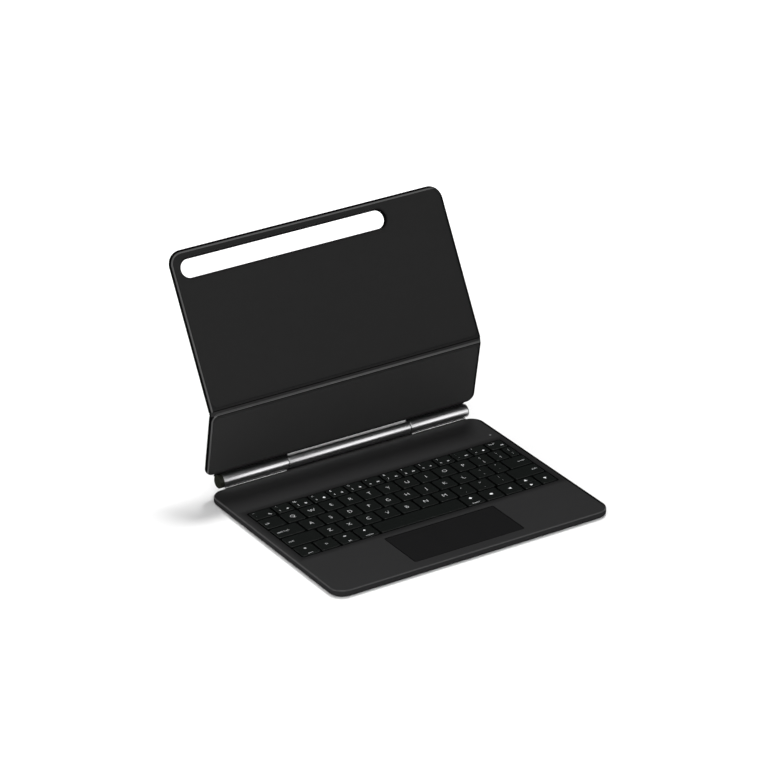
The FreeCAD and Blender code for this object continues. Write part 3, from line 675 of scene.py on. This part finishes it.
def rows_sign(marks, place):
    for step in (-1, 0, 1):
        add_bar(marks, place + Vector((0.0, 0.6 * step * UNIT, 0.0)), 1.6 * UNIT, 0.7 * LINE)


POINT_LEFT, POINT_RIGHT = math.pi, 0.0
PICTOGRAMS = [
    lambda marks, place: lens(marks, place),
    lambda marks, place: sun(marks, place, 0.35 * UNIT),
    lambda marks, place: sun(marks, place, 0.6 * UNIT),
    lambda marks, place: add_disc(marks, place, 0.95 * UNIT),
    lambda marks, place: rows_sign(marks, place),
    lambda marks, place: padlock(marks, place),
    lambda marks, place: arrows(marks, place, 2, POINT_LEFT),
    lambda marks, place: arrows(marks, place, 1, POINT_RIGHT, 1),
    lambda marks, place: arrows(marks, place, 2, POINT_RIGHT),
    lambda marks, place: speaker(marks, place, 0),
    lambda marks, place: speaker(marks, place, 1),
    lambda marks, place: speaker(marks, place, 2),
    lambda marks, place: add_disc(marks, place, 0.9 * UNIT, 6),
]
print("pictograms:", len(PICTOGRAMS))

# %% [markdown]
# ### Set the marks
# Places are counted from the edges of a cap, so that the marks follow the keys.

# %% Place and finish the marks
SIGN_SIDE = 3.3 * MM
SIGN_BACK = 2.2 * MM
SIGN_FRONT = 3.6 * MM
PICTOGRAM_SIDE = 4.6 * MM
PICTOGRAM_FRONT = 3.8 * MM
WORD_SIDE = 2.2 * MM
STACK_HALF = 3.5 * MM


def on_cap(box, x_share=0.5, y_share=0.5, right=0.0, back=0.0):
    """A point on top of a cap: shares of its width and depth, and then a step right and back."""
    low, high = box
    return Vector((low.x + x_share * (high.x - low.x) + right, low.y + y_share * (high.y - low.y) + back,
                   high.z + INK_HEIGHT / 2))


def finish_marks(marks, name, body):
    bmesh.ops.recalc_face_normals(marks, faces=marks.faces[:])
    mesh = bpy.data.meshes.new(name)
    marks.to_mesh(mesh)
    marks.free()
    mesh.materials.append(finishes["ink"].material)
    piece = bpy.data.objects.new(name, mesh)
    scene.collection.objects.link(piece)
    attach(piece, body)
    return piece


def letter_marks():
    for letter in "abcdefghijklmnopqrstuvwxyz":
        marks = bmesh.new()
        add_text(marks, letter.upper(), LETTER_HEIGHT, on_cap(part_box("key_" + letter)))
        finish_marks(marks, "mark_" + letter, "key_" + letter)


def number_marks():
    marks = bmesh.new()
    for box, signs, pictogram in zip(groups["number_keys"], zip("~!@#$%^&*()_+", "`1234567890-="), PICTOGRAMS):
        add_text(marks, signs[0], SIGN_HEIGHT, on_cap(box, 0.0, 1.0, SIGN_SIDE, -SIGN_BACK))
        add_text(marks, signs[1], SIGN_HEIGHT, on_cap(box, 0.0, 0.0, SIGN_SIDE, SIGN_FRONT))
        pictogram(marks, on_cap(box, 1.0, 0.0, -PICTOGRAM_SIDE, PICTOGRAM_FRONT))
    finish_marks(marks, "marks_numbers", "number_keys")


def punctuation_marks():
    marks = bmesh.new()
    pairs = [("{", "["), ("}", "]"), ("|", "\\"), (":", ";"), ('"', "'"), ("<", ","), (">", "."), ("?", "/")]
    for box, (upper, lower) in zip(groups["punctuation_keys"], pairs):
        add_text(marks, upper, SIGN_HEIGHT, on_cap(box, back=STACK_HALF))
        add_text(marks, lower, SIGN_HEIGHT, on_cap(box, back=-STACK_HALF))
    finish_marks(marks, "marks_punctuation", "punctuation_keys")


letter_marks()
number_marks()
punctuation_marks()
print("marks on letters, numbers and punctuation")

# %% [markdown]
# The wide keys carry words, and the modifier keys a word near the front with a pictogram behind it.

# %% Words and arrows
MODIFIER_BACK = 2.8 * MM
MODIFIER_FRONT = 5.6 * MM
ARROW_REACH = 1.75 * MM


def command_marks():
    """In the order of the caps: backspace, tab, caps lock, enter, both shifts, then the modifiers."""
    marks = bmesh.new()
    backspace, tab, caps, enter, shift, right_shift, *modifiers = groups["command_keys"]
    add_text(marks, "back", WORD_HEIGHT, on_cap(backspace, 0.0, 1.0, WORD_SIDE, -3.3 * MM), "LEFT")
    arrows(marks, on_cap(backspace, 1.0, 0.0, -3.2 * MM, 4.0 * MM), 2, POINT_LEFT)
    for box, word in ((tab, "tab"), (caps, "caps lock"), (shift, "shift")):
        add_text(marks, word, WORD_HEIGHT, on_cap(box, 0.0, 0.5, WORD_SIDE), "LEFT")
    for box, word in ((enter, "enter"), (right_shift, "shift")):
        add_text(marks, word, WORD_HEIGHT, on_cap(box, 1.0, 0.5, -WORD_SIDE), "RIGHT")
    signs = [lambda place: rows_sign(marks, place), None, lambda place: arrows(marks, place, 2, POINT_RIGHT),
             lambda place: add_disc(marks, place, UNIT, 4), lambda place: add_disc(marks, place, 1.4 * UNIT, 4),
             lambda place: add_disc(marks, place, 1.3 * UNIT, 6)]
    words = ["ctrl", "fn", "alt", "super", "super", None]
    for box, word, sign in zip(modifiers, words, signs):
        spread = 1 if word and sign else 0
        if word:
            add_text(marks, word, WORD_HEIGHT, on_cap(box, back=-spread * MODIFIER_FRONT))
        if sign:
            sign(on_cap(box, back=spread * MODIFIER_BACK))
    finish_marks(marks, "marks_commands", "command_keys")


def arrow_marks():
    marks = bmesh.new()
    up, left, right, down = groups["arrow_keys"]
    turns = ((up, math.pi / 2), (left, math.pi), (right, 0.0), (down, -math.pi / 2))
    for box, turn in turns:
        add_disc(marks, on_cap(box), ARROW_REACH, 3, turn - math.pi / 2)
    finish_marks(marks, "marks_arrows", "arrow_keys")


command_marks()
arrow_marks()
print("words and arrows set; caps in the command group:", len(groups["command_keys"]))

# %% [markdown]
# ## Under the keys
# A rubber dome and two crossed links carry each cap. On the real case they fold towards the film that they
# stand on when the key goes down; here each set is one still piece, fixed to the base. A dome is a lathe: a
# foot, a slack wall and a thick button. The links are those of the frame, sorted by key.

# %% Domes and links under their keys
DOME_STEPS = 20
# Outline of a dome, from the middle of its foot over the wall to the top: shares of its radius and height.
DOME_OUTLINE = ((0.0, 0.0), (1.0, 0.0), (0.98, 0.12), (0.84, 0.60), (0.70, 0.74), (0.68, 1.0), (0.0, 1.0))


def add_dome(domes, box):
    low, high = box
    middle = (low + high) / 2
    radius = (high.x - low.x) / 2
    line = [domes.verts.new((middle.x + radius * reach, middle.y, low.z + rise * (high.z - low.z)))
            for reach, rise in DOME_OUTLINE]
    edges = [domes.edges.new(pair) for pair in zip(line, line[1:])]
    bmesh.ops.spin(domes, geom=line + edges, cent=middle, axis=UP, angle=math.tau, steps=DOME_STEPS,
                   use_merge=True)


def under(point, caps):
    """Whether a point lies below one of the caps."""
    return any(low.x < point.x < high.x and low.y < point.y < high.y for low, high in caps)


def domes_under(caps):
    domes = bmesh.new()
    for box in dome_boxes:
        if under((box[0] + box[1]) / 2, caps):
            add_dome(domes, box)
    bmesh.ops.remove_doubles(domes, verts=domes.verts[:], dist=0.001 * MM)
    bmesh.ops.recalc_face_normals(domes, faces=domes.faces[:])
    return domes


def links_under(caps):
    links = bmesh.new()
    links.from_mesh(nodes["scissor_links"].data)
    others = [vert for vert in links.verts if not under(vert.co, caps)]
    bmesh.ops.delete(links, geom=others, context="VERTS")
    return links


def finish_support(made, name, node, key, slot):
    """Turn a set of domes or links into a still piece fixed to the base, and hide the node of the frame."""
    mesh = bpy.data.meshes.new(name)
    made.to_mesh(mesh)
    made.free()
    mesh.shade_smooth()
    mesh.set_sharp_from_angle(angle=math.radians(40.0))
    mesh.materials.append(finishes[slot].material)
    piece = bpy.data.objects.new(name, mesh)
    scene.collection.objects.link(piece)
    joint = "press_" + key
    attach(piece, "base")
    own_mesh(piece)
    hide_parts(node)
    return piece


dome_boxes = solid_boxes("rubber_domes")
supports = []
for key in [name for name in nodes if name.startswith("key_") and "press_" + name in joints] + list(groups):
    caps = solid_boxes(key)
    supports.append(finish_support(domes_under(caps), "domes_" + key, "rubber_domes", key, "key_dome"))
    supports.append(finish_support(links_under(caps), "links_" + key, "scissor_links", key, "key_link"))
print("sets of domes and links:", len(supports), "domes:", len(dome_boxes))

# %% [markdown]
# ## The barrel's tubes
# The three knuckles are drawn tubes. They mirror the room, so every facet of a coarse mesh would show as a
# saw edge in the white band. A lathe is the natural tool: a rectangle, as wide as the wall and as long as
# the knuckle, is spun round the hinge axis, and its outer rims are bevelled.

# %% Lathe the tubes
TUBE_WALL = 0.9 * MM
TUBE_RIM = 0.3 * MM
TUBE_STEPS = 96


def add_tube(barrel, box):
    """Spin one wall round the hinge, between the ends of a box."""
    low, high = box
    radius = (high.z - low.z) / 2
    corners = [(low.x, radius - TUBE_WALL), (low.x, radius), (high.x, radius), (high.x, radius - TUBE_WALL)]
    wall = [barrel.verts.new((x, hinge.y, hinge.z + reach)) for x, reach in corners]
    edges = [barrel.edges.new(pair) for pair in zip(wall, wall[1:] + wall[:1])]
    spun = bmesh.ops.spin(barrel, geom=wall + edges, cent=hinge, axis=(1.0, 0.0, 0.0), angle=math.tau,
                          steps=TUBE_STEPS, use_merge=True)
    bmesh.ops.recalc_face_normals(barrel, faces=barrel.faces[:])
    return spun


def outer_rims(barrel, box):
    low, high = box
    radius = (high.z - low.z) / 2
    rims = []
    for edge in barrel.edges:
        ends = [vert.co for vert in edge.verts]
        at_end = any(all(abs(end.x - x) < 0.01 * MM for end in ends) for x in (low.x, high.x))
        outside = all(math.hypot(end.y - hinge.y, end.z - hinge.z) > radius - 0.01 * MM for end in ends)
        if at_end and outside:
            rims.append(edge)
    return rims


def make_tubes(name, node, body):
    barrel = bmesh.new()
    for box in solid_boxes(node):
        add_tube(barrel, box)
        bmesh.ops.bevel(barrel, geom=outer_rims(barrel, box), offset=TUBE_RIM, segments=3, profile=0.5,
                        affect="EDGES", material=-1)
    mesh = bpy.data.meshes.new(name)
    barrel.to_mesh(mesh)
    barrel.free()
    mesh.shade_smooth()
    mesh.set_sharp_from_angle(angle=math.radians(50.0))
    mesh.materials.append(finishes["polished_tube"].material)
    piece = bpy.data.objects.new(name, mesh)
    scene.collection.objects.link(piece)
    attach(piece, body)
    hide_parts(node)
    return piece


tubes = [make_tubes("outer_tubes_turned", "outer_hinge_tubes", "base"),
         make_tubes("middle_tube_turned", "middle_hinge_tube", "lower_panel")]
print("tube faces:", [len(piece.data.polygons) for piece in tubes])

# %% [markdown]
# ## The crease
# Between the two leaves of the back panel the skin and its lining run on and fold. It is a soft web that
# fills the gap from the back almost to the front and sags a little there. The plain bead of the frame is
# replaced by such a web: its outline is drawn round the fold's axis, in steps along and across the leaves,
# and pulled out over the full width. It grips both leaves. Its front has the nap of the lining, and its ends
# and back are black like the painted edge.

# %% Web in the crease
LEAF_SETBACK = 0.65 * MM
WEB_GRIP = 0.3 * MM
WEB_BACK = -0.40 * MM
WEB_FRONT = 2.9 * MM
WEB_VALLEY = 2.2 * MM
WEB_SIDE_INSET = 0.5 * MM
WEB_END_ROUND = 0.5 * MM

fold = Vector(joints["cover_fold"]["pos_m"])
web_half_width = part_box("lower_skin")[1].x - WEB_SIDE_INSET
web_front = (lower_front + upper_front).normalized()


def crease_finish():
    finish = Finish("crease_web", {"Specular IOR Level": 0.0, "Coat IOR": 1.4, "Coat Roughness": 0.3})
    nap = finish.noise(5200.0, 4.0, finish.stretched((1.0, 0.45, 0.45)))
    napped = finish.between(nap, *shades((LOWER_TONE,) * 3, 0.12))
    toward = finish.limited(finish.facing(web_front), 0.5, 0.8)
    finish.vary("Base Color", finish.between(toward, EDGE_PAINT, napped))
    finish.vary("Roughness", 0.88 + 0.10 * (nap - 0.5))
    inward = rim_distance(finish, lower_corner, lower_up, 8.0 * MM)
    finish.vary("Coat Weight", toward * finish.limited(inward, LINE_INSET - 2 * LINE_FADE, LINE_INSET))
    finish.relief(nap, 0.00005, 0.5)
    return finish


def web_outline():
    """Points round the web: up its back, over the upper grip, down through the valley to the lower grip."""
    low_end = fold - lower_up * (LEAF_SETBACK + WEB_GRIP)
    high_end = fold + upper_up * (LEAF_SETBACK + WEB_GRIP)
    lower_lip = low_end + lower_front * WEB_FRONT
    upper_lip = high_end + upper_front * WEB_FRONT
    valley = fold + web_front * WEB_VALLEY
    return [low_end + lower_front * WEB_BACK, fold + web_front * WEB_BACK, high_end + upper_front * WEB_BACK,
            upper_lip, upper_lip.lerp(valley, 0.6), valley, lower_lip.lerp(valley, 0.6), lower_lip]


def make_crease():
    web = bmesh.new()
    left = [web.verts.new(point - Vector((web_half_width, 0.0, 0.0))) for point in web_outline()]
    end_face = web.faces.new(left)
    grown = bmesh.ops.extrude_face_region(web, geom=[end_face], use_keep_orig=True)
    moved = [part for part in grown["geom"] if isinstance(part, bmesh.types.BMVert)]
    bmesh.ops.translate(web, verts=moved, vec=(2 * web_half_width, 0.0, 0.0))
    rims = [edge for edge in web.edges if abs(edge.verts[0].co.x - edge.verts[1].co.x) < 0.01 * MM]
    bmesh.ops.bevel(web, geom=rims, offset=WEB_END_ROUND, segments=2, profile=0.5, affect="EDGES", material=-1)
    bmesh.ops.recalc_face_normals(web, faces=web.faces[:])
    mesh = bpy.data.meshes.new("crease_web")
    web.to_mesh(mesh)
    web.free()
    mesh.shade_smooth()
    mesh.set_sharp_from_angle(angle=math.radians(40.0))
    mesh.materials.append(crease_finish().material)
    piece = bpy.data.objects.new("crease_web", mesh)
    scene.collection.objects.link(piece)
    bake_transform(piece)
    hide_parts("fold_strip")
    return piece


crease = make_crease()
print("crease web faces:", len(crease.data.polygons))

# %% [markdown]
# ## Floor
# The case stands on a white sweep that turns up into a low wall all round. It is a lathe too: one line, with
# its corner bevelled, spun round the middle. The floor takes shadows as a plain pale surface. What the
# camera and mirroring metal see of it is lifted to white, by a little glow that only these rays meet: least
# beside the case, where the shadow lies, more behind the case, and most far out. The wall gets some more
# from the camera alone, so that it does not show as a grey band from low down.

# %% Floor and wall
FLOOR_RADIUS = 5.0
WALL_HEIGHT = 1.4
COVE_RADIUS = 0.9
FLOOR_LIFT = 0.03
REAR_LIFT = 0.16
REAR_START, REAR_FULL = 0.10, 0.16
FAR_LIFT = 0.50
FAR_START, FAR_FULL = 0.30, 0.80
WALL_LIFT = 0.70
WALL_START, WALL_FULL = 1.50, 3.00


def sweep_finish():
    finish = Finish("white_sweep", {"Base Color": (0.74, 0.74, 0.74, 1.0), "Roughness": 1.0,
                                    "Specular IOR Level": 0.0, "Emission Strength": 1.0})
    rays = [finish.node("ShaderNodeLightPath", out=name)
            for name in ("Is Camera Ray", "Is Glossy Ray", "Is Transmission Ray")]
    seen = rays[0].sum("MAXIMUM", rays[0], rays[1])
    seen = seen.sum("MAXIMUM", seen, rays[2])
    back = finish.node("ShaderNodeSeparateXYZ", {}, {0: finish.place}, "Y")
    out = finish.node("ShaderNodeVectorMath", {"operation": "LENGTH"}, {0: finish.place}, "Value")
    rear = REAR_LIFT * finish.limited(back, REAR_START, REAR_FULL)
    far = FAR_LIFT * finish.limited(out, FAR_START, FAR_FULL)
    wall = WALL_LIFT * finish.limited(out, WALL_START, WALL_FULL)
    finish.vary("Emission Color", seen * (FLOOR_LIFT + rear + far) + rays[0] * wall)
    return finish


def make_floor():
    ground = bmesh.new()
    line = [ground.verts.new(point) for point in
            ((0.0, 0.0, 0.0), (FLOOR_RADIUS, 0.0, 0.0), (FLOOR_RADIUS, 0.0, WALL_HEIGHT))]
    for pair in zip(line, line[1:]):
        ground.edges.new(pair)
    bmesh.ops.bevel(ground, geom=[line[1]], offset=COVE_RADIUS, segments=12, profile=0.5, affect="VERTICES",
                    material=-1)
    bmesh.ops.spin(ground, geom=ground.verts[:] + ground.edges[:], cent=(0.0, 0.0, 0.0), axis=UP,
                   angle=math.tau, steps=64, use_merge=True)
    bmesh.ops.remove_doubles(ground, verts=ground.verts[:], dist=0.01 * MM)
    mesh = bpy.data.meshes.new("floor")
    ground.to_mesh(mesh)
    ground.free()
    mesh.shade_smooth()
    mesh.materials.append(sweep_finish().material)
    floor = bpy.data.objects.new("floor", mesh)
    scene.collection.objects.link(floor)
    return floor


floor = make_floor()
print("sweep faces:", len(floor.data.polygons))

# %% [markdown]
# ## Light
# One wide distant lamp from the back right lights the floor evenly and gives the soft shadow at the left. A
# tall soft box at the front draws the white band on the barrel and lights the leaves, and a box overhead
# fills the deck. Three boxes at the left light the side wall and draw the thin lines along the rounded edges.
# A thin strip close to the barrel stands for the light that the polished metal throws on the deck, which is
# slow to find by chance. The surroundings add a low even light.

# %% Lamps
SURROUNDING = 0.06
AIM = Vector((0.0, 0.06, 0.06))


def make_world():
    world = bpy.data.worlds.new("studio")
    world.use_nodes = True
    back = world.node_tree.nodes["Background"]
    back.inputs["Color"].default_value = (1.0, 1.0, 1.0, 1.0)
    back.inputs["Strength"].default_value = SURROUNDING
    scene.world = world


def hang(lamp, direction, distance, aim=AIM):
    """Put a lamp at a distance in a direction from the point that it is turned to."""
    holder = bpy.data.objects.new(lamp.name, lamp)
    holder.location = aim + Vector(direction).normalized() * distance
    holder.rotation_euler = (-Vector(direction)).to_track_quat("-Z", "Y").to_euler()
    holder.visible_camera = False
    scene.collection.objects.link(holder)


def soft_box(name, direction, distance, width, height, power, aim=AIM):
    lamp = bpy.data.lights.new(name, "AREA")
    lamp.shape = "RECTANGLE"
    lamp.size = width
    lamp.size_y = height
    lamp.energy = power
    hang(lamp, direction, distance, aim)


def distant_lamp(name, direction, strength, width):
    lamp = bpy.data.lights.new(name, "SUN")
    lamp.energy = strength
    lamp.angle = width
    hang(lamp, direction, 3.0)


make_world()
distant_lamp("key_lamp", (0.285, 0.262, 0.88), 2.8, math.radians(14.0))
soft_box("front_box", (0.476, -0.760, 0.274), 3.2, 2.0, 2.4, 30.4)
soft_box("overhead_box", (-0.36, -0.47, 0.80), 1.5, 1.0, 1.2, 9.6)
soft_box("front_left_box", (-0.30, -0.85, 0.45), 1.5, 0.9, 0.6, 3.0)
soft_box("back_left_box", (-0.22, 0.76, 0.58), 1.5, 0.8, 0.35, 3.6)
soft_box("left_box", (-1.0, -0.05, 0.12), 1.5, 0.8, 0.5, 9.0)
soft_box("barrel_strip", (0.0, 0.6, 0.8), 3.0 * MM, 236.0 * MM, 2.0 * MM, 0.007,
         hinge - Vector((0.0, 8.2, 3.4)) * MM)
scene.view_settings.view_transform = "Standard"
print("lamps:", [lamp.name for lamp in bpy.data.lights])

# %% [markdown]
# ## Camera
# A long lens from the front left, a little above the case, as in the photograph. Its place and turn are set
# so that the key rows fall where they do there.

# %% Camera
CAMERA_PLACE = Vector((-1.56072, -2.45983, 1.53274))
AZIMUTH, ELEVATION, ROLL = math.radians(-32.01), math.radians(26.02), math.radians(-0.46)
LENS_MM, SENSOR_MM = 192.448, 36.0


def make_camera():
    back = Vector((math.sin(AZIMUTH) * math.cos(ELEVATION), -math.cos(AZIMUTH) * math.cos(ELEVATION),
                   math.sin(ELEVATION)))
    right = Vector((math.cos(AZIMUTH), math.sin(AZIMUTH), 0.0))
    up = back.cross(right)
    turned_right = math.cos(ROLL) * right + math.sin(ROLL) * up
    turned_up = math.cos(ROLL) * up - math.sin(ROLL) * right
    data = bpy.data.cameras.new("camera")
    data.lens = LENS_MM
    data.sensor_width = SENSOR_MM
    camera = bpy.data.objects.new("camera", data)
    turn = Matrix((turned_right, turned_up, back)).transposed()
    camera.matrix_world = Matrix.Translation(CAMERA_PLACE) @ turn.to_4x4()
    scene.collection.objects.link(camera)
    scene.camera = camera


make_camera()
print("camera at", [round(value, 3) for value in CAMERA_PLACE], "m")
